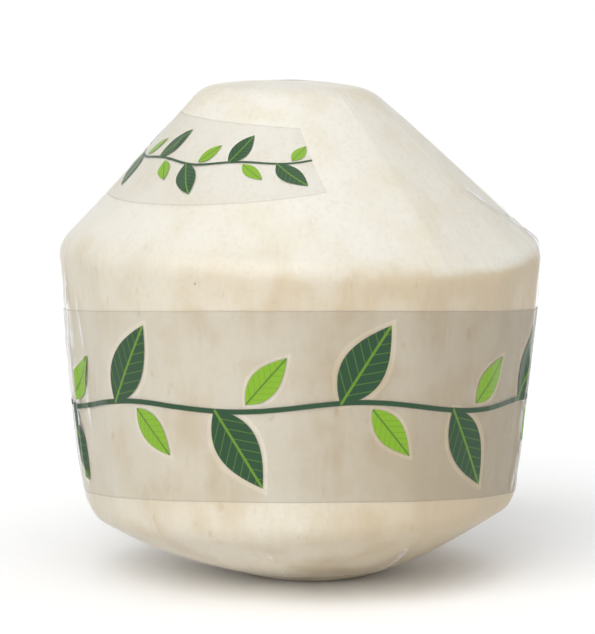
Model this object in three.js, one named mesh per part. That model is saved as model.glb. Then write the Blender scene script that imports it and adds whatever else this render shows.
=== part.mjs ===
// A young coconut trimmed to its pale husk and dressed for sale: clear film drawn tight over the fruit,
// a printed band label round its sides and a fan-shaped label on its cone.
// Millimetres, +Z up. The front of the fruit faces -Y, and +X is to the right of someone looking at it.
import * as THREE from "three";

// Half section of the trimmed fruit: radius and height of each cut edge, and how far the edge is rounded.
const REST_RADIUS = 15;
const REST_ROUND = 2;
const HAUNCH_RADIUS = 35;
const HAUNCH_HEIGHT = 6.8;
const HAUNCH_ROUND = 14;
const BASE_RADIUS = 52.6;
const BASE_HEIGHT = 17.6;
const BASE_ROUND = 6;
const SHOULDER_RADIUS = 59.1;
const SHOULDER_HEIGHT = 80.4;
const SHOULDER_ROUND = 4.5;
const CROWN_RADIUS = 20.4;
const CROWN_HEIGHT = 119;
const CROWN_ROUND = 4.5;
const CROWN_RISE = 1.6;

// Flat knife strokes round the sides and the cone: their number, how flat they are, and how unevenly they fall.
const SIDE_STROKES = 15;
const SIDE_FLATNESS = 0.4;
const CONE_STROKES = 11;
const CONE_FLATNESS = 0.3;
const STROKE_BLEND = 4;
const STROKE_WANDER = 0.1;
const STROKE_WAVER = 0.06;

// A fruit that is not quite true: where its ends have moved to, and how its cut edges rise and fall round it.
const CROWN_SHIFT = -3.1;
const CROWN_LEAN = 0.4;
const CROWN_LEAN_START = 110;
const FOOT_SHIFT = 3;
const FOOT_HEIGHT = 30;
const BASE_LEAN = 1.4;
const BASE_LEAN_LOW = 12.5;
const BASE_LEAN_HIGH = 35;
const EDGE_REACH = 9;
const DIP_DEPTH = 2.6;
const DIP_ANGLE = THREE.MathUtils.degToRad(42);
const DIP_SPREAD = THREE.MathUtils.degToRad(28);
const LIFT_HEIGHT = 0.9;
const LIFT_ANGLE = THREE.MathUtils.degToRad(-90);
const LIFT_SPREAD = THREE.MathUtils.degToRad(45);
const WEAR_DEPTH = 0.6;
const WEAR_HEIGHT = 72;
const WEAR_REACH = 12;

// The wrapping, measured outwards from the husk.
const FILM_GAP = 0.3;
const FILM_THICKNESS = 0.3;
const FILM_MOUTH_RADIUS = 24;
const LABEL_GAP = 1;
const LABEL_THICKNESS = 0.3;

// The band label: edge heights at the back, how much higher it sits at the front, and its lap at the back.
const BAND_LOWER = 19;
const BAND_UPPER = 63.6;
const BAND_LIFT = 7.2;
const BAND_LAP = THREE.MathUtils.degToRad(12);
const BAND_LAP_RISE = THREE.MathUtils.degToRad(12);

// The fan label: where it is centred round the cone, its half spread along each edge, and its edge heights.
const FAN_CENTRE = THREE.MathUtils.degToRad(-48.5);
const FAN_LOWER_SPREAD = THREE.MathUtils.degToRad(57);
const FAN_UPPER_SPREAD = THREE.MathUtils.degToRad(49);
const FAN_LOWER = 92.8;
const FAN_LOWER_LIFT = 3.5;
const FAN_UPPER = 112.2;
const FAN_UPPER_FALL = 1.9;

// Fineness of the faceted solids.
const SEGMENTS = 60;
const SEGMENT_ANGLE = (2 * Math.PI) / SEGMENTS;
const LONGEST_STEP = 10;
const ROUND_STEPS = 3;
const BAND_ROWS = 10;
const FAN_ROWS = 4;

const { clamp, lerp, smoothstep } = THREE.MathUtils;

// 1 at the middle, falling away smoothly over the reach.
const bell = (value, middle, reach) => Math.exp(-(((value - middle) / reach) ** 2));

// The half section as points with outward normals, from the middle of the flat spot to the top of the crown.
function traceOutline() {
  const crownTop = CROWN_HEIGHT + CROWN_RISE;
  const start = new THREE.Vector2(0, 0);
  const crownPull = new THREE.Vector2(CROWN_RADIUS / 2, crownTop);
  const edges = [
    [REST_RADIUS, 0, REST_ROUND],
    [HAUNCH_RADIUS, HAUNCH_HEIGHT, HAUNCH_ROUND],
    [BASE_RADIUS, BASE_HEIGHT, BASE_ROUND],
    [SHOULDER_RADIUS, SHOULDER_HEIGHT, SHOULDER_ROUND],
    [CROWN_RADIUS, CROWN_HEIGHT, CROWN_ROUND],
  ].map(([radius, height, round]) => ({ corner: new THREE.Vector2(radius, height), round }));

  const path = new THREE.Path().moveTo(start.x, start.y);
  edges.forEach(({ corner, round }, index) => {
    const before = index > 0 ? edges[index - 1].corner : start;
    const after = index < edges.length - 1 ? edges[index + 1].corner : crownPull;
    const enter = before.clone().sub(corner).setLength(round).add(corner);
    const leave = after.clone().sub(corner).setLength(round).add(corner);
    path.lineTo(enter.x, enter.y);
    path.quadraticCurveTo(corner.x, corner.y, leave.x, leave.y);
  });
  path.quadraticCurveTo(crownPull.x, crownPull.y, 0, crownTop);

  return path.curves.flatMap((stretch, index) => {
    const steps = Math.max(stretch.isLineCurve ? 1 : ROUND_STEPS, Math.ceil(stretch.getLength() / LONGEST_STEP));
    const first = index === 0 ? 0 : 1;
    return Array.from({ length: steps + 1 - first }, (_, step) => {
      const along = (step + first) / steps;
      const tangent = stretch.getTangent(along);
      return { at: stretch.getPoint(along), normal: new THREE.Vector2(tangent.y, -tangent.x) };
    });
  });
}

const outline = traceOutline();

// Points of the outline moved a distance out from the husk.
function raised(stretch, distance) {
  return stretch.map(({ at, normal }) => at.clone().addScaledVector(normal, distance));
}

// A point of the outline part of the way from one of its points to the next.
function between(low, high, share) {
  return {
    at: low.at.clone().lerp(high.at, share),
    normal: low.normal.clone().lerp(high.normal, share).normalize(),
  };
}

// Radius and height of the surface at a height on the fruit, moved a distance out from the husk.
function surfaceAt(height, distance) {
  const next = outline.findIndex(({ at }) => at.y > height);
  const [low, high] = [outline[next - 1], outline[next]];
  const share = (height - low.at.y) / (high.at.y - low.at.y);
  return raised([between(low, high, share)], distance)[0];
}

// The outline from a radius on the underside up to the top of the crown.
function outlineFrom(radius) {
  const next = outline.findIndex(({ at }) => at.x > radius);
  const [low, high] = [outline[next - 1], outline[next]];
  const share = (radius - low.at.x) / (high.at.x - low.at.x);
  return [between(low, high, share), ...outline.slice(next)];
}

// How far a straight knife stroke cuts inside the round at an angle: its corners stand out, its middle lies in.
function strokeFlatness(angle, strokes) {
  const wander = STROKE_WANDER * Math.sin(2 * angle + strokes);
  const waver = STROKE_WAVER * Math.sin(3 * angle - strokes);
  const wandering = angle + wander + waver;
  const width = (2 * Math.PI) / strokes;
  const fromMiddle = THREE.MathUtils.euclideanModulo(wandering, width) - width / 2;
  const middle = Math.cos(width / 2);
  const average = (1 + 2 * middle) / 3;
  return middle / Math.cos(fromMiddle) - average;
}

// Takes a point of the true round form to where hand trimming left it. Every piece goes through it alike.
function handTrim(point) {
  const angle = Math.atan2(point.x, -point.y);
  const height = point.z;
  let radius = Math.hypot(point.x, point.y);

  const onCone = smoothstep(height, SHOULDER_HEIGHT - STROKE_BLEND, SHOULDER_HEIGHT + STROKE_BLEND);
  const sideStrokes = SIDE_FLATNESS * strokeFlatness(angle, SIDE_STROKES);
  const coneStrokes = CONE_FLATNESS * strokeFlatness(angle, CONE_STROKES);
  const clearOfRest = Math.max(smoothstep(radius, REST_RADIUS, HAUNCH_RADIUS), onCone);
  radius *= 1 + lerp(sideStrokes, coneStrokes, onCone) * clearOfRest;
  radius -= WEAR_DEPTH * Math.max(-Math.sin(angle), 0) * bell(height, WEAR_HEIGHT, WEAR_REACH);

  const upCone = clamp((height - SHOULDER_HEIGHT) / (CROWN_HEIGHT - SHOULDER_HEIGHT), 0, 1);
  const downFoot = Math.max(1 - height / FOOT_HEIGHT, 0) ** 2;
  const nearBase = smoothstep(height, 0, BASE_LEAN_LOW) * (1 - smoothstep(height, BASE_HEIGHT, BASE_LEAN_HIGH));
  const onCrown = smoothstep(height, CROWN_LEAN_START, CROWN_HEIGHT) * (radius / CROWN_RADIUS);
  const lean = (BASE_LEAN * nearBase - CROWN_LEAN * onCrown) * Math.sin(angle);
  const lift = LIFT_HEIGHT * bell(angle, LIFT_ANGLE, LIFT_SPREAD);
  const dip = DIP_DEPTH * bell(angle, DIP_ANGLE, DIP_SPREAD);
  point.set(
    radius * Math.sin(angle) + CROWN_SHIFT * upCone + FOOT_SHIFT * downFoot,
    -radius * Math.cos(angle),
    height + lean + (lift - dip) * bell(height, SHOULDER_HEIGHT, EDGE_REACH),
  );
}

function reshape(geometry, move) {
  const position = geometry.attributes.position;
  const point = new THREE.Vector3();
  for (let index = 0; index < position.count; index += 1) {
    point.fromBufferAttribute(position, index);
    move(point);
    position.setXYZ(index, point.x, point.y, point.z);
  }
  geometry.computeVertexNormals();
  return geometry;
}

// A half section turned round the fruit's axis, then trimmed.
function turned(section) {
  const geometry = new THREE.LatheGeometry(section, SEGMENTS);
  geometry.rotateX(Math.PI / 2);
  return reshape(geometry, handTrim);
}

// A sheet laid on the fruit. place() gives the angle, height and extra distance out at a point of the sheet.
function laidSheet(columns, rows, place) {
  const geometry = new THREE.BoxGeometry(1, 1, 1, columns, rows, 1);
  return reshape(geometry, (point) => {
    const { angle, height, distance } = place(point.x + 0.5, point.y + 0.5);
    const surface = surfaceAt(height, LABEL_GAP + distance + LABEL_THICKNESS * (point.z + 0.5));
    point.set(surface.x * Math.sin(angle), -surface.x * Math.cos(angle), surface.y);
    handTrim(point);
  });
}

function huskGeometry() {
  return turned(raised(outline, 0));
}

// The film follows the husk from its mouth under the fruit, closes over the crown and comes back down outside.
function filmGeometry() {
  const wrapped = outlineFrom(FILM_MOUTH_RADIUS);
  const inside = raised(wrapped, FILM_GAP).reverse();
  const outside = raised(wrapped, FILM_GAP + FILM_THICKNESS);
  return turned([...inside, ...outside]);
}

// The band starts at the back, goes once round to the right and climbs over its own start.
function bandGeometry() {
  const start = -Math.PI;
  const end = Math.PI + BAND_LAP;
  const columns = Math.round((end - start) / SEGMENT_ANGLE);
  return laidSheet(columns, BAND_ROWS, (along, up) => {
    const angle = lerp(start, end, along);
    const lift = BAND_LIFT * ((1 + Math.cos(angle)) / 2) ** 2;
    const overStart = smoothstep(angle, Math.PI - BAND_LAP_RISE, Math.PI);
    return {
      angle,
      height: lerp(BAND_LOWER, BAND_UPPER, up) + lift,
      distance: overStart * (LABEL_THICKNESS + FILM_GAP),
    };
  });
}

// The fan's lower edge sags in its middle, its upper edge falls to the right, and its ends lean together.
function fanGeometry() {
  const columns = Math.round((2 * FAN_LOWER_SPREAD) / SEGMENT_ANGLE);
  return laidSheet(columns, FAN_ROWS, (along, up) => {
    const across = 2 * along - 1;
    const lower = FAN_LOWER + FAN_LOWER_LIFT * across ** 2;
    const upper = FAN_UPPER - FAN_UPPER_FALL * across;
    return {
      angle: FAN_CENTRE + across * lerp(FAN_LOWER_SPREAD, FAN_UPPER_SPREAD, up),
      height: lerp(lower, upper, up),
      distance: 0,
    };
  });
}

function piece(name, geometry, finish) {
  const mesh = new THREE.Mesh(geometry, new THREE.MeshStandardMaterial({ metalness: 0, ...finish }));
  mesh.name = name;
  return mesh;
}

const clear = (opacity) => ({ transparent: true, opacity });

const wrappedCoconut = new THREE.Group();
wrappedCoconut.add(
  piece("coconut", huskGeometry(), { color: 0xeee6d2, roughness: 0.75 }),
  piece("film", filmGeometry(), { color: 0xf4f4f2, roughness: 0.12, ...clear(0.15) }),
  piece("band_label", bandGeometry(), { color: 0xd6cfbd, roughness: 0.4, ...clear(0.55) }),
  piece("top_label", fanGeometry(), { color: 0xe4ddcc, roughness: 0.4, ...clear(0.5) }),
);

// The origin is under the middle of the whole, on the plane that the flat spot stands on.
const extent = new THREE.Box3().setFromObject(wrappedCoconut);
const middle = extent.getCenter(new THREE.Vector3());
wrappedCoconut.position.set(-middle.x, -middle.y, -extent.min.z);

export default wrappedCoconut;
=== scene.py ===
import math
import bpy
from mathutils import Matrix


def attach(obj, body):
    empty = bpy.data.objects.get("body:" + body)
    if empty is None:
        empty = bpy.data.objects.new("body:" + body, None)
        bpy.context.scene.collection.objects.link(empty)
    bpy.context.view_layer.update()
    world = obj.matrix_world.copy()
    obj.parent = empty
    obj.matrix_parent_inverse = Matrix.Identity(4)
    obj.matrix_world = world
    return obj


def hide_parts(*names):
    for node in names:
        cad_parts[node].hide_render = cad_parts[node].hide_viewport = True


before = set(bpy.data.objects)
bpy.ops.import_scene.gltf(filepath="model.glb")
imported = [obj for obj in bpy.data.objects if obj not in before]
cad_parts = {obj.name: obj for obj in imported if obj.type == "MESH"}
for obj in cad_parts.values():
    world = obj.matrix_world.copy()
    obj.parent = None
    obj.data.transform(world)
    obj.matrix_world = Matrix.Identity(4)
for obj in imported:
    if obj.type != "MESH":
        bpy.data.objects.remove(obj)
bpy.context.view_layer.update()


# The fruit
# A young coconut, pared by hand down to its white husk: a cone above, a soft shoulder, sides that draw in
# downwards and a low domed underside. It is one grown piece, and stands on a small flat cut.

MM = 0.001
REST_RADIUS = 15 * MM
HAUNCH_RADIUS = 35 * MM
HAUNCH_HEIGHT = 6.8 * MM
BASE_RADIUS = 52.6 * MM
BASE_HEIGHT = 17.6 * MM
SHOULDER_RADIUS = 59.1 * MM
SHOULDER_HEIGHT = 80.4 * MM
CROWN_RADIUS = 20.4 * MM
CROWN_HEIGHT = 119 * MM
CROWN_TOP = 120.6 * MM


def feed(node, values):
    """Sets the sockets of a node, or links wires to them."""
    for key, value in values.items():
        if isinstance(value, Wire):
            node.id_data.links.new(value.socket, node.inputs[key])
        else:
            node.inputs[key].default_value = value


class Wire:
    """A socket in a node tree. Arithmetic on it adds Math nodes, and node() adds any other kind of node."""

    def __init__(self, tree, socket=None):
        self.tree = tree
        self.socket = socket

    def node(self, kind, inputs=None, out=0, **settings):
        made = self.tree.nodes.new(kind)
        for name, value in settings.items():
            setattr(made, name, value)
        feed(made, inputs or {})
        return Wire(self.tree, made.outputs[out] if made.outputs else None)

    def output(self, name):
        """Another output of the same node."""
        return Wire(self.tree, self.socket.node.outputs[name])

    def math(self, operation, *others):
        return self.node("ShaderNodeMath", dict(enumerate((self, *others))), operation=operation)

    def rise(self, low, high):
        """0 below low, 1 above high, and a smooth step between them."""
        limits = {"Value": self, "From Min": low, "From Max": high}
        return self.node("ShaderNodeMapRange", limits, interpolation_type="SMOOTHSTEP")

    def bell(self, middle, width):
        """1 at the middle, falling away smoothly over the width."""
        share = (self - middle) / width
        return (-(share * share)).math("EXPONENT")

    def clamped(self):
        """Held between 0 and 1."""
        return self.math("MAXIMUM", 0.0).math("MINIMUM", 1.0)

    def axis(self, letter):
        return self.node("ShaderNodeSeparateXYZ", {0: self}, out=letter)

    def vector(self, x, y, z):
        return self.node("ShaderNodeCombineXYZ", {0: x, 1: y, 2: z})

    def noise(self, scale, detail, **more):
        """Noise at this place, from 0 to 1."""
        return self.node("ShaderNodeTexNoise", {"Vector": self, "Scale": scale, "Detail": detail, **more})

    def blend(self, first, second):
        """The first colour where this is 0 and the second where it is 1."""
        return self.node("ShaderNodeMix", {0: self, 6: first, 7: second}, out=2, data_type="RGBA")

    def __add__(self, other):
        return self.math("ADD", other)

    def __sub__(self, other):
        return self.math("SUBTRACT", other)

    def __rsub__(self, other):
        return (-self).math("ADD", other)

    def __mul__(self, other):
        return self.math("MULTIPLY", other)

    def __truediv__(self, other):
        return self.math("DIVIDE", other)

    def __rtruediv__(self, other):
        return self.math("POWER", -1.0).math("MULTIPLY", other)

    def __neg__(self):
        return self.math("MULTIPLY", -1.0)

    __radd__ = __add__
    __rmul__ = __mul__


def geometry_tree(name, inputs):
    """A geometry tree with these named inputs, and a wire from each of them."""
    tree = bpy.data.node_groups.new(name, "GeometryNodeTree")
    for label, (kind, value) in inputs.items():
        socket = tree.interface.new_socket(label, in_out="INPUT", socket_type=f"NodeSocket{kind}")
        if value is not None:
            socket.default_value = value
    tree.interface.new_socket("Geometry", in_out="OUTPUT", socket_type="NodeSocketGeometry")
    start = tree.nodes.new("NodeGroupInput")
    return tree, {label: Wire(tree, start.outputs[label]) for label in inputs}


def close_tree(surface, finish):
    """Closes the seams of a surface, smooths it, realizes it, gives it its finish and ends the tree."""
    closed = surface.node("GeometryNodeMergeByDistance", {"Geometry": surface, "Distance": 0.002 * MM})
    smooth = closed.node("GeometryNodeSetShadeSmooth", {"Geometry": closed})
    real = smooth.node("GeometryNodeRealizeInstances", {"Geometry": smooth})
    dressed = real.node("GeometryNodeSetMaterial", {"Geometry": real, "Material": finish})
    dressed.node("NodeGroupOutput", {"Geometry": dressed})


def shaped(name, tree, sizes):
    """An object whose plain mesh is what a geometry tree makes with these inputs."""
    piece = bpy.data.objects.new(name, bpy.data.meshes.new(name))
    bpy.context.scene.collection.objects.link(piece)
    modifier = piece.modifiers.new("shape", "NODES")
    modifier.node_group = tree
    for label, value in sizes.items():
        modifier[tree.interface.items_tree[label].identifier] = value
    bpy.context.view_layer.update()
    evaluated = piece.evaluated_get(bpy.context.evaluated_depsgraph_get())
    mesh = bpy.data.meshes.new_from_object(evaluated)
    piece.modifiers.remove(modifier)
    piece.data = mesh
    return piece


skin, size = geometry_tree(
    "trimmed skin",
    {
        "Columns": ("Int", 300),
        "Rows": ("Int", 200),
        "Start": ("Float", 0.0),
        "Offset": ("Float", 0.0),
        "Fibre Depth": ("Float", 0.0),
        "Pleat Height": ("Float", 0.0),
        "Finish": ("Material", None),
    },
)
AXIS_X = -0.082 * MM
AXIS_Y = 0.209 * MM
SIDE_STROKES = 15
CONE_STROKES = 11
SIDE_FLATNESS = 0.4
CONE_FLATNESS = 0.3
STROKE_WANDER = 0.1
STROKE_WAVER = 0.06
STROKE_BLEND = 4 * MM
CROWN_SHIFT = -3.1 * MM
CROWN_LEAN = 0.4 * MM
CROWN_LEAN_START = 110 * MM
FOOT_SHIFT = 3 * MM
FOOT_HEIGHT = 30 * MM
BASE_LEAN = 1.4 * MM
BASE_LEAN_LOW = 12.5 * MM
BASE_LEAN_HIGH = 35 * MM
EDGE_REACH = 9 * MM
DIP_DEPTH = 2.6 * MM
DIP_ANGLE = math.radians(42)
DIP_SPREAD = math.radians(28)
LIFT_HEIGHT = 0.9 * MM
LIFT_ANGLE = math.radians(-90)
LIFT_SPREAD = math.radians(45)
WEAR_DEPTH = 0.6 * MM
WEAR_HEIGHT = 72 * MM
WEAR_REACH = 12 * MM
LUMP_HEIGHT = 0.5 * MM
LUMP_REACH = 40 * MM

# Corners of the half section, with the radius that each is rounded to, from the flat spot to the crown's top.
corners = [
    (0, 0, 0),
    (REST_RADIUS, 0, 12 * MM),
    (HAUNCH_RADIUS, HAUNCH_HEIGHT, 120 * MM),
    (BASE_RADIUS, BASE_HEIGHT, 7 * MM),
    (SHOULDER_RADIUS, SHOULDER_HEIGHT, 7 * MM),
    (CROWN_RADIUS, CROWN_HEIGHT, 11 * MM),
    (CROWN_RADIUS / 2, CROWN_TOP, 100 * MM),
    (0, CROWN_TOP, 0),
]
here = Wire(skin)
index = here.node("GeometryNodeInputIndex")


def chosen(kind, values):
    """One of these values for each corner."""
    switch = skin.nodes.new("GeometryNodeIndexSwitch")
    switch.data_type = kind
    for _ in values[2:]:
        switch.index_switch_items.new()
    skin.links.new(index.socket, switch.inputs["Index"])
    for place, value in enumerate(values):
        switch.inputs[place + 1].default_value = value
    return Wire(skin, switch.outputs[0])


points = here.node("GeometryNodeMeshLine", {"Count": len(corners)})
placed = chosen("VECTOR", [(radius, 0, height) for radius, height, _ in corners])
bent = here.node("GeometryNodeSetPosition", {"Geometry": points, "Position": placed})
angular = here.node("GeometryNodeMeshToCurve", {"Mesh": bent})
rounding = chosen("FLOAT", [radius for _, _, radius in corners])
outline = here.node(
    "GeometryNodeFilletCurve",
    {"Curve": angular, "Count": 10, "Radius": rounding, "Limit Radius": True},
    mode="POLY",
)


def unit_sheet(size, map_name):
    """A flat sheet, 1 by 1, of the tree's columns and rows, with its flat map kept under a name."""
    counts = {"Vertices X": size["Columns"] + 1, "Vertices Y": size["Rows"] + 1}
    flat = size["Columns"].node("GeometryNodeMeshGrid", {"Size X": 1.0, "Size Y": 1.0, **counts})
    kept = {"Geometry": flat, "Name": map_name, 3: flat.output("UV Map")}
    return flat.node("GeometryNodeStoreNamedAttribute", kept, data_type="FLOAT2", domain="CORNER")


# The sheet is carried onto the outline. Across, it runs round the fruit from the back, and up, it runs
# from the flat spot to the crown.
sheet = unit_sheet(size, "wrap")
spot = here.node("GeometryNodeInputPosition")
angle = spot.axis("X") * (2 * math.pi)
length = here.node("GeometryNodeCurveLength", {"Curve": outline})
along = size["Start"] + (length - size["Start"]) * (spot.axis("Y") + 0.5)
on_outline = here.node(
    "GeometryNodeSampleCurve",
    {"Curves": outline, "Length": along},
    out="Position",
    mode="LENGTH",
)
tangent = on_outline.output("Tangent")
slope_out = tangent.axis("Z")
slope_up = -tangent.axis("X")
true_height = on_outline.axis("Z")


def wound(patches, up):
    """A place for noise that closes on itself round the fruit: patches across it, and a height up it."""
    return here.vector(angle.math("SINE") * patches, angle.math("COSINE") * patches, up)


# Husk fibres run up the fruit, so their grooves are long and narrow. Pleats of the film stand out of it.
lumps = wound(1, true_height / LUMP_REACH).noise(1.6, 1.0)
fibres = wound(26, along / (14 * MM)).noise(1.0, 2.0)
ripple = wound(9, along / (55 * MM)).noise(1.0, 1.0, Distortion=0.4)
pleats = ripple.rise(0.5, 0.78) * 0.5

# Each pleat has the angle and height of its lower and its upper end, in degrees and mm, its width in mm
# and its share of the pleat height.
for low_angle, low, high_angle, high, width, tall in (
    (95, 79, 64, 97, 1.0, 2.6),
    (103, 73, 84, 104, 1.6, 1.0),
    (-63, 36, -66, 74, 0.9, 1.5),
    (-70, 20, -72, 80, 1.2, 2.2),
    (-78, 24, -75, 79, 1.2, 2.0),
    (-85, 20, -83, 77, 0.9, 1.6),
    (-92, 28, -97, 80, 1.0, 2.0),
    (71, 18, 75, 60, 1.2, 2.0),
    (82, 22, 85, 68, 0.9, 1.4),
    (91, 26, 88, 76, 1.0, 1.8),
    (-150, 20, -142, 96, 1.2, 1.6),
    (148, 30, 156, 104, 1.2, 1.8),
    (172, 22, 166, 84, 0.9, 1.2),
    (-12, 1, -9, 15, 1.0, 1.0),
    (38, 2, 33, 14, 1.1, 1.0),
    (-58, 2, -52, 16, 1.1, 1.0),
):
    up_pleat = ((true_height - low * MM) / ((high - low) * MM)).clamped()
    pleat_angle = math.radians(low_angle) + up_pleat * math.radians(high_angle - low_angle)
    waver = (up_pleat * 9 + low_angle).math("SINE") * 0.012
    away = (angle - pleat_angle + waver) * on_outline.axis("X")
    ends = up_pleat.rise(0.0, 0.2) * (1 - up_pleat.rise(0.8, 1.0))
    pleats = pleats + away.bell(0.0, width * MM) * ends * tall

# Round its mouth, under the fruit, the film is gathered.
by_mouth = 1 - true_height.rise(2 * MM, 9 * MM)
gathers = (angle * 46 + ripple * 14).math("SINE").rise(-0.2, 1.0) * by_mouth
relief = (
    (lumps - 0.5) * LUMP_HEIGHT
    + size["Offset"]
    - size["Fibre Depth"] * fibres.rise(0.4, 0.75)
    + size["Pleat Height"] * (pleats + gathers * 0.6)
)
radius = on_outline.axis("X") + slope_out * relief * on_outline.axis("X").rise(0, REST_RADIUS / 2)
height = true_height + slope_up * relief * true_height.rise(0, HAUNCH_HEIGHT)


def stroke_flatness(count):
    """How far a straight knife stroke lies inside the round: its corners stand out, its middle lies in."""
    wander = (angle * 2 + count).math("SINE") * STROKE_WANDER
    waver = (angle * 3 - count).math("SINE") * STROKE_WAVER
    width = 2 * math.pi / count
    from_middle = (angle + wander + waver).math("FLOORED_MODULO", width) - width / 2
    middle = math.cos(width / 2)
    return middle / from_middle.math("COSINE") - (1 + 2 * middle) / 3


on_cone = height.rise(SHOULDER_HEIGHT - STROKE_BLEND, SHOULDER_HEIGHT + STROKE_BLEND)
off_crown = radius.rise(CROWN_RADIUS / 4, CROWN_RADIUS)
side_strokes = stroke_flatness(SIDE_STROKES) * SIDE_FLATNESS * (1 - on_cone)
cone_strokes = stroke_flatness(CONE_STROKES) * CONE_FLATNESS * on_cone * off_crown
clear_of_rest = radius.rise(REST_RADIUS, HAUNCH_RADIUS).math("MAXIMUM", on_cone)
worn = (-angle.math("SINE")).math("MAXIMUM", 0.0) * height.bell(WEAR_HEIGHT, WEAR_REACH)
pared = radius * (1 + (side_strokes + cone_strokes) * clear_of_rest) - worn * WEAR_DEPTH
up_cone = ((height - SHOULDER_HEIGHT) / (CROWN_HEIGHT - SHOULDER_HEIGHT)).clamped()
down_foot = (1 - height / FOOT_HEIGHT).math("MAXIMUM", 0.0).math("POWER", 2.0)
near_base = height.rise(0, BASE_LEAN_LOW) * (1 - height.rise(BASE_HEIGHT, BASE_LEAN_HIGH))
on_crown = height.rise(CROWN_LEAN_START, CROWN_HEIGHT) * pared / CROWN_RADIUS
lean = (near_base * BASE_LEAN - on_crown * CROWN_LEAN) * angle.math("SINE")
edge_lift = angle.bell(LIFT_ANGLE, LIFT_SPREAD) * LIFT_HEIGHT
edge_dip = angle.bell(DIP_ANGLE, DIP_SPREAD) * DIP_DEPTH
trimmed = here.vector(
    pared * angle.math("SINE") + up_cone * CROWN_SHIFT + down_foot * FOOT_SHIFT + AXIS_X,
    -(pared * angle.math("COSINE")) + AXIS_Y,
    height + lean + (edge_lift - edge_dip) * height.bell(SHOULDER_HEIGHT, EDGE_REACH),
)


def marked(surface, name, value):
    """The surface with a value kept at each of its points under a name."""
    kept = {"Geometry": surface, "Name": name, 3: value}
    return surface.node("GeometryNodeStoreNamedAttribute", kept, data_type="FLOAT", domain="POINT")


known = marked(marked(sheet, "trim_height", true_height), "pleat", pleats)
wrapped = here.node("GeometryNodeSetPosition", {"Geometry": known, "Position": trimmed})
close_tree(wrapped, size["Finish"])


def principled(name):
    """A new material and a wire into its tree, with its Principled shader left to be fed."""
    material = bpy.data.materials.new(name)
    material.use_nodes = True
    return material, Wire(material.node_tree), material.node_tree.nodes["Principled BSDF"]


def paint(*screen_values):
    """A colour given as screen values from 0 to 255, as the shader's linear light."""
    shares = [value / 255 for value in screen_values]
    linear = [share / 12.92 if share < 0.04 else ((share + 0.055) / 1.055) ** 2.4 for share in shares]
    return (*linear, 1.0)


SIDE_CREAM = paint(203, 196, 180)
UNDERSIDE_BOUNCE_LIGHT = paint(222, 213, 195)
CONE_IVORY = paint(209, 206, 196)
SIDE_TAN_AND_SHADE = paint(188, 173, 147)
CONE_TAN = paint(202, 195, 177)
SHADED_GREY = paint(190, 185, 171)
FELT_BROWN = paint(176, 160, 130)
GRAIN_BROWN = paint(176, 155, 122)
THREAD_WHITE = paint(226, 222, 211)
FLECK_BROWN = paint(160, 128, 92)
DOT_BROWN = paint(88, 78, 50)

husk, at, husk_shader = principled("white husk")
place = at.node("ShaderNodeTexCoord", out="Object")
turn = place.axis("Y").math("ARCTAN2", place.axis("X"))
level = at.node("ShaderNodeAttribute", out="Fac", attribute_name="trim_height")
ring_x = turn.math("SINE")
ring_y = turn.math("COSINE")


def streaks(across, up, detail, seed):
    """Noise drawn out along the husk's fibres: across in patches round the fruit, up in metres."""
    return at.vector(ring_x * across, ring_y * across, level / up + seed).noise(1.0, detail)


clouds = place.noise(95.0, 3.0, Roughness=0.5)
mist = place.noise(26.0, 2.0)
felt = place.noise(900.0, 2.0)
broad = streaks(9, 22 * MM, 2.0, 3.0)
grain = streaks(28, 7 * MM, 3.0, 9.0)
threads = streaks(100, 6 * MM, 2.0, 17.0)
flecks = streaks(24, 4 * MM, 1.0, 31.0)

# The cone is whiter than the sides. The edge between them is soft on the left and crisp on the right.
to_right = place.axis("X").rise(-5 * MM, 40 * MM)
to_left = 1 - place.axis("X").rise(-58 * MM, -15 * MM)
edge_softness = 6.5 * MM - to_right * (5 * MM)
edge_line = SHOULDER_HEIGHT + (mist - 0.5) * (4 * MM) + (clouds - 0.5) * (2 * MM)
on_cone = (level - edge_line).rise(-edge_softness, edge_softness)
on_side = 1 - on_cone
off_ends = level.rise(4 * MM, 16 * MM) * (1 - level.rise(116 * MM, 120 * MM))
underside_lit = 1 - level.rise(6 * MM, 15 * MM)
under_shoulder = (level - edge_line).bell(-3 * MM, 3 * MM)
near_crown = level.rise(106 * MM, 121 * MM)
# Painted light: the underside is painted lighter than the sides, standing in for light thrown up from the
# table.
skin_tone = on_cone.blend(underside_lit.blend(SIDE_CREAM, UNDERSIDE_BOUNCE_LIGHT), CONE_IVORY)
tan_and_shade_tone = on_cone.blend(SIDE_TAN_AND_SHADE, CONE_TAN)
# Tan patches are the husk's own colour. The right side and a band under the shoulder are also painted darker:
# partly the husk's own tan, partly painted shade.
tan_and_shade_mask = (
    clouds.rise(0.42, 0.72) * 0.5
    + mist.rise(0.42, 0.68) * 0.4
    + broad.rise(0.45, 0.75) * on_side * off_ends * 0.35
    + under_shoulder * (0.1 + to_right * 0.2)
    + to_right * on_side * 0.65
    + near_crown * 0.35 * clouds.rise(0.4, 0.6)
)
cream = tan_and_shade_mask.math("MINIMUM", 1.0).blend(skin_tone, tan_and_shade_tone)
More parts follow.
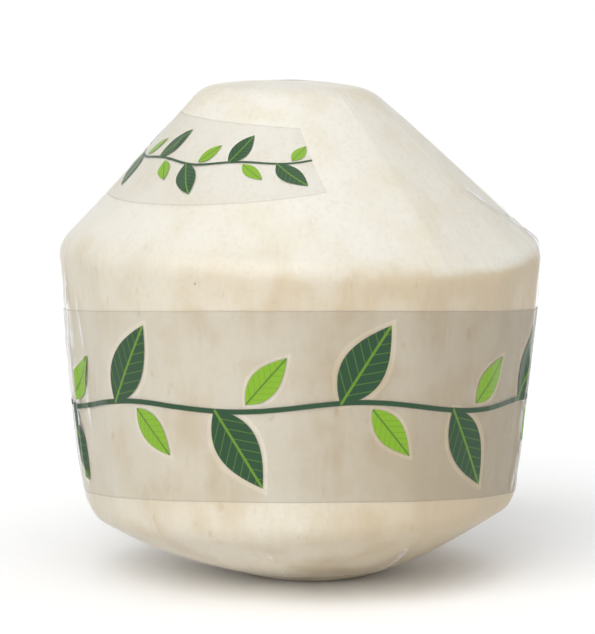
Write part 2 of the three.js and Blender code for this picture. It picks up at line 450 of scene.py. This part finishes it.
# Painted shade: towards the left the husk is painted greyer and darker, more on the sides than on the cone.
left_shaded = (to_left * (0.2 + on_side * 0.28)).blend(cream, SHADED_GREY)
felted = (felt.rise(0.45, 0.8) * 0.18).blend(left_shaded, FELT_BROWN)
grain_mask = grain.rise(0.5, 0.8) * off_ends * (0.05 + on_side * 0.12)
grained = grain_mask.blend(felted, GRAIN_BROWN)
threaded = (threads.rise(0.5, 0.8) * off_ends * 0.1).blend(grained, THREAD_WHITE)
fleck_mask = flecks.rise(0.68, 0.8) * off_ends * (0.06 + on_side * 0.2)
flecked = fleck_mask.blend(threaded, FLECK_BROWN)
dots = at.node("ShaderNodeTexVoronoi", {"Vector": place, "Scale": 95.0})
dot_draw = dots.node("ShaderNodeSeparateColor", {0: dots.output("Color")})
dot_mask = (1 - dots.rise(0.018, 0.034)) * dot_draw.rise(0.6, 0.62)
specked = (dot_mask * 0.55).blend(flecked, DOT_BROWN)
bump_height = grain * 0.2 * off_ends + threads * 0.15 * off_ends + clouds * 0.6 + felt * 0.2
bump = at.node("ShaderNodeBump", {"Height": bump_height, "Strength": 0.3, "Distance": 0.35 * MM})
feed(
    husk_shader,
    {
        "Base Color": specked,
        "Roughness": 0.62 + clouds * 0.2,
        "Normal": bump,
        "Specular IOR Level": 0.25,
        "Subsurface Weight": 0.1,
        "Subsurface Radius": (1.0, 0.8, 0.5),
        "Subsurface Scale": 2 * MM,
    },
)
fruit = shaped(
    "trimmed_fruit",
    skin,
    {"Columns": 330, "Rows": 240, "Fibre Depth": 0.06 * MM, "Finish": husk},
)
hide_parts("coconut")
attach(fruit, "root")


# The film
# Clear stretch film, pulled tight over the crown and down the sides and left open underneath, round the flat
# spot. It lies a hair off the husk, and stands out in low pleats where it could not lie flat.

FILM_OFFSET = 0.15 * MM
FILM_START = 24.6 * MM
PLEAT_HEIGHT = 0.35 * MM
FILM_GLOSS = 0.018
EDGE_GLOSS = 0.35
GLINT_GLOSS = 2.2
MOST_GLOSS = 0.85

clear_film = bpy.data.materials.new("clear film")
clear_film.use_nodes = True
clear_tree = clear_film.node_tree
clear_tree.nodes.remove(clear_tree.nodes["Principled BSDF"])
at = Wire(clear_tree)
facing = at.node("ShaderNodeLayerWeight", {"Blend": 0.5}, out="Facing")
crinkle = at.node("ShaderNodeTexCoord", out="Object").noise(170.0, 2.0).rise(0.36, 0.6)
glint = at.node("ShaderNodeAttribute", out="Fac", attribute_name="pleat").rise(0.5, 1.5) * crinkle
slanted = facing.math("POWER", 5.0) * EDGE_GLOSS
creased = glint * facing * facing * GLINT_GLOSS
gloss_share = (FILM_GLOSS + slanted + creased).math("MINIMUM", MOST_GLOSS)
glass = at.node("ShaderNodeBsdfTransparent", {"Color": (1, 1, 1, 1)})
gloss = at.node("ShaderNodeBsdfGlossy", {"Color": (1, 1, 1, 1), "Roughness": 0.26})
film_shader = at.node("ShaderNodeMixShader", {0: gloss_share, 1: glass, 2: gloss})
feed(clear_tree.nodes["Material Output"], {"Surface": film_shader})

film = shaped(
    "clear_film",
    skin,
    {
        "Columns": 450,
        "Rows": 210,
        "Start": FILM_START,
        "Offset": FILM_OFFSET,
        "Pleat Height": PLEAT_HEIGHT,
        "Finish": clear_film,
    },
)
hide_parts("film")
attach(film, "root")


# The labels
# Two printed see-through labels stuck on the film: a band right round the sides, its end lapped over its
# start at the back, and a fan on the left front of the cone. Their print is a running vine of leaves.

laid, size = geometry_tree(
    "laid label",
    {
        "Under": ("Object", None),
        "Columns": ("Int", 200),
        "Rows": ("Int", 30),
        "Centre": ("Float", 0.0),
        "Lower Spread": ("Float", 1.0),
        "Upper Spread": ("Float", 1.0),
        "Lower": ("Float", 0.02),
        "Lower Lift": ("Float", 0.0),
        "Upper": ("Float", 0.06),
        "Upper Fall": ("Float", 0.0),
        "Front Lift": ("Float", 0.0),
        "Gap": ("Float", 0.1 * MM),
        "Finish": ("Material", None),
    },
)
RAY_START = 100 * MM
LAP_RISE = 0.2
here = Wire(laid)
sheet = unit_sheet(size, "print")
spot = here.node("GeometryNodeInputPosition")
across = spot.axis("X") * 2
up = spot.axis("Y") + 0.5
angle = size["Centre"] + across * (size["Lower Spread"] * (1 - up) + size["Upper Spread"] * up)
lower = size["Lower"] + size["Lower Lift"] * across * across
upper = size["Upper"] - size["Upper Fall"] * across
to_front = ((1 + angle.math("COSINE")) / 2).math("POWER", 2.0)
height = lower * (1 - up) + upper * up + size["Front Lift"] * to_front

# Each point of a label is dropped inwards onto the film. A label's end rises where it laps over its start.
outside = here.vector(
    angle.math("SINE") * RAY_START + AXIS_X,
    angle.math("COSINE") * -RAY_START + AXIS_Y,
    height,
)
inwards = here.vector(-angle.math("SINE"), angle.math("COSINE"), 0.0)
under = here.node("GeometryNodeObjectInfo", {"Object": size["Under"]}, out="Geometry")
hit = here.node(
    "GeometryNodeRaycast",
    {"Target Geometry": under, "Source Position": outside, "Ray Direction": inwards, "Ray Length": RAY_START},
    out="Hit Position",
)
lift = size["Gap"] * (1 + (angle - math.pi).rise(0, LAP_RISE))
raised = {0: hit.output("Hit Normal"), "Scale": lift}
out = here.node("ShaderNodeVectorMath", raised, operation="SCALE")
stuck = here.node("ShaderNodeVectorMath", {0: hit, 1: out}, operation="ADD")
label_sheet = here.node("GeometryNodeSetPosition", {"Geometry": sheet, "Position": stuck})
close_tree(label_sheet, size["Finish"])

DARK_GREEN = paint(10, 58, 24)
LIME = paint(114, 157, 9)
LABEL_TINT = paint(146, 141, 130)
INK_COVER = 0.97
RIM_COVER = 0.12
RIM_WIDTH = 0.4 * MM


def vine_print(name, length, tall, cells, leaf, tint, shade_swing):
    """See-through label film, printed with a vine whose leaves grow up and down from it in turn.

    The tint between the leaves is painted denser to the right of the label's middle and thinner to the left
    of it, as painted shade on the right of the fruit and painted light on its left.
    """
    material, at, shader = principled(name)
    uv = at.node("ShaderNodeUVMap", uv_map="print")
    run = uv.axis("X") * cells
    x = (run.math("FRACT") - 0.5) * (length / cells)
    flip = 1 - (run * 0.5).math("FRACT").math("GREATER_THAN", 0.5) * 2
    y = (uv.axis("Y") - 0.5) * tall * flip

    def leaf_mask(base_x, base_y, lean, long, wide):
        """The blade, the ribs and the bare halo of a leaf that grows from a point of its cell."""
        shift_x = x - base_x
        shift_y = y - base_y
        down = (shift_x * math.cos(lean) + shift_y * math.sin(lean)) / long
        aside = (shift_y * math.cos(lean) - shift_x * math.sin(lean)).math("ABSOLUTE") / long
        width = down * (1 - down) * 4 * (1.25 - down * 0.5) * wide
        blade = (width - aside).rise(0, 0.012)
        halo = (width - aside).rise(-0.062, -0.05)
        rib = 1 - aside.rise(0.008, 0.02)
        veins = ((down - aside * 0.9) * 8).math("FRACT").rise(0.86, 0.92)
        return blade, blade * (rib + veins * 0.5).math("MINIMUM", 1.0), halo

    big_lean = math.radians(58)
    small_lean = math.radians(-48)
    big, big_rib, big_halo = leaf_mask(-0.25 * leaf, 0.02 * leaf, big_lean, leaf, 0.24)
    small, small_rib, small_halo = leaf_mask(0.1 * leaf, -0.02 * leaf, small_lean, 0.68 * leaf, 0.22)
    wave = (run * math.pi).math("SINE") * (0.05 * leaf) * flip
    stem = 1 - (y - wave).math("ABSOLUTE").rise(0.022 * leaf, 0.034 * leaf)
    ink = big.math("MAXIMUM", small).math("MAXIMUM", stem)
    bare = 1 - big_halo.math("MAXIMUM", small_halo) * 0.6
    # Painted shade: the tint is denser on the right of the fruit and thinner on its left.
    shaded_tint = 1 + ((uv.axis("X") - 0.5) * (2 * math.pi)).math("SINE") * shade_swing
    from_middle = (uv.axis("Y") - 0.5).math("ABSOLUTE") * tall
    rim = (from_middle - (tall / 2 - RIM_WIDTH)).rise(0, 0.15 * MM)
    green = small.blend(DARK_GREEN, LIME)
    ribbed = (big_rib * 0.55).blend(green, LIME)
    veined = (small_rib * 0.6).blend(ribbed, DARK_GREEN)
    feed(
        shader,
        {
            "Base Color": ink.blend(LABEL_TINT, veined),
            "Alpha": (bare * shaded_tint * tint + rim * RIM_COVER).math("MAXIMUM", ink * INK_COVER),
            "Roughness": 0.35,
        },
    )
    return material


LABEL_GAP = 0.06 * MM
BAND_LOWER = 19 * MM
BAND_UPPER = 63.6 * MM
BAND_TALL = BAND_UPPER - BAND_LOWER
BAND_LAP = math.radians(12)
BAND_SPREAD = math.pi + BAND_LAP / 2
BAND_LENGTH = 2 * BAND_SPREAD * 57 * MM
FAN_LENGTH = 74 * MM
FAN_TALL = 26 * MM
band_label = shaped(
    "band_label_print",
    laid,
    {
        "Under": film,
        "Columns": 744,
        "Rows": 60,
        "Centre": BAND_LAP / 2,
        "Lower Spread": BAND_SPREAD,
        "Upper Spread": BAND_SPREAD,
        "Lower": BAND_LOWER,
        "Upper": BAND_UPPER,
        "Front Lift": 7.2 * MM,
        "Gap": LABEL_GAP,
        "Finish": vine_print("band label print", BAND_LENGTH, BAND_TALL, 12.4, 22 * MM, 0.19, 0.55),
    },
)
top_label = shaped(
    "top_label_print",
    laid,
    {
        "Under": film,
        "Columns": 160,
        "Rows": 40,
        "Centre": math.radians(-48.5),
        "Lower Spread": math.radians(57),
        "Upper Spread": math.radians(49),
        "Lower": 92.8 * MM,
        "Lower Lift": 3.5 * MM,
        "Upper": 112.2 * MM,
        "Upper Fall": 1.9 * MM,
        "Gap": LABEL_GAP,
        "Finish": vine_print("top label print", FAN_LENGTH, FAN_TALL, 6, 11 * MM, 0.07, 0.0),
    },
)
for label, node in ((band_label, "band_label"), (top_label, "top_label")):
    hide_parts(node)
    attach(label, "root")


# The table and the light
# A wide, pale, matt table top that the fruit stands on, in the daylight of a plain white room: light comes
# from all round, most of it from the front left.

FLOOR_HALF = 30.0
floor_corners = [(x * FLOOR_HALF, y * FLOOR_HALF, 0) for x, y in ((-1, -1), (1, -1), (1, 1), (-1, 1))]
floor_mesh = bpy.data.meshes.new("table_top")
floor_mesh.from_pydata(floor_corners, [], [(0, 1, 2, 3)])
floor = bpy.data.objects.new("table_top", floor_mesh)
bpy.context.scene.collection.objects.link(floor)
pale, _, pale_shader = principled("pale table")
feed(pale_shader, {"Base Color": (0.96, 0.96, 0.96, 1), "Roughness": 0.8})
floor_mesh.materials.append(pale)

# Where it is seen or mirrored, the room is plain white. As a light it is weaker.
SKY_LIGHT = 0.5
BACKDROP_LIGHT = 1.0
world = bpy.data.worlds.new("daylight")
bpy.context.scene.world = world
world.use_nodes = True
rays = Wire(world.node_tree).node("ShaderNodeLightPath", out="Is Camera Ray")
seen = rays.math("MAXIMUM", rays.output("Is Glossy Ray"))
sky = seen * (BACKDROP_LIGHT - SKY_LIGHT) + SKY_LIGHT
feed(world.node_tree.nodes["Background"], {"Color": (1, 1, 1, 1), "Strength": sky})


def daylight(name, turn, rise, spread, strength):
    """A far, wide soft light: turn is degrees to the right of the front, rise is degrees above the table."""
    light = bpy.data.lights.new(name, "SUN")
    light.angle = math.radians(spread)
    light.energy = strength
    holder = bpy.data.objects.new(name, light)
    holder.rotation_euler = (math.radians(90 - rise), 0, math.radians(turn))
    bpy.context.scene.collection.objects.link(holder)


daylight("key_light", -30, 35, 55, 1.76)
daylight("front_light", 4, 30, 60, 0.8)
daylight("fill_light", 60, 75, 60, 0.5)


# The camera
# It stands where the photograph was taken from: in front of the fruit and a little above it, with a long
# lens. The shift of its lens puts the fruit's axis where the photograph has it.

CAMERA_DISTANCE = 0.7
CAMERA_RISE = math.radians(6.56)
AIM_HEIGHT = 60 * MM
PIXELS_PER_METRE = 4080.0
IMAGE_WIDTH = 595
IMAGE_HEIGHT = 634
AIM_PIXEL = (299.66, 328.81)
lens = bpy.data.cameras.new("camera")
lens.sensor_width = 36.0
lens.lens = PIXELS_PER_METRE * CAMERA_DISTANCE / IMAGE_HEIGHT * lens.sensor_width
lens.shift_x = (IMAGE_WIDTH / 2 - AIM_PIXEL[0]) / IMAGE_HEIGHT
lens.shift_y = (AIM_PIXEL[1] - IMAGE_HEIGHT / 2) / IMAGE_HEIGHT
lens.clip_end = 200.0
camera = bpy.data.objects.new("camera", lens)
camera.location = (
    AXIS_X,
    -CAMERA_DISTANCE * math.cos(CAMERA_RISE),
    AIM_HEIGHT + CAMERA_DISTANCE * math.sin(CAMERA_RISE),
)
camera.rotation_euler = (math.pi / 2 - CAMERA_RISE, 0, 0)
bpy.context.scene.collection.objects.link(camera)
bpy.context.scene.camera = camera
bpy.context.scene.view_settings.view_transform = "Standard"
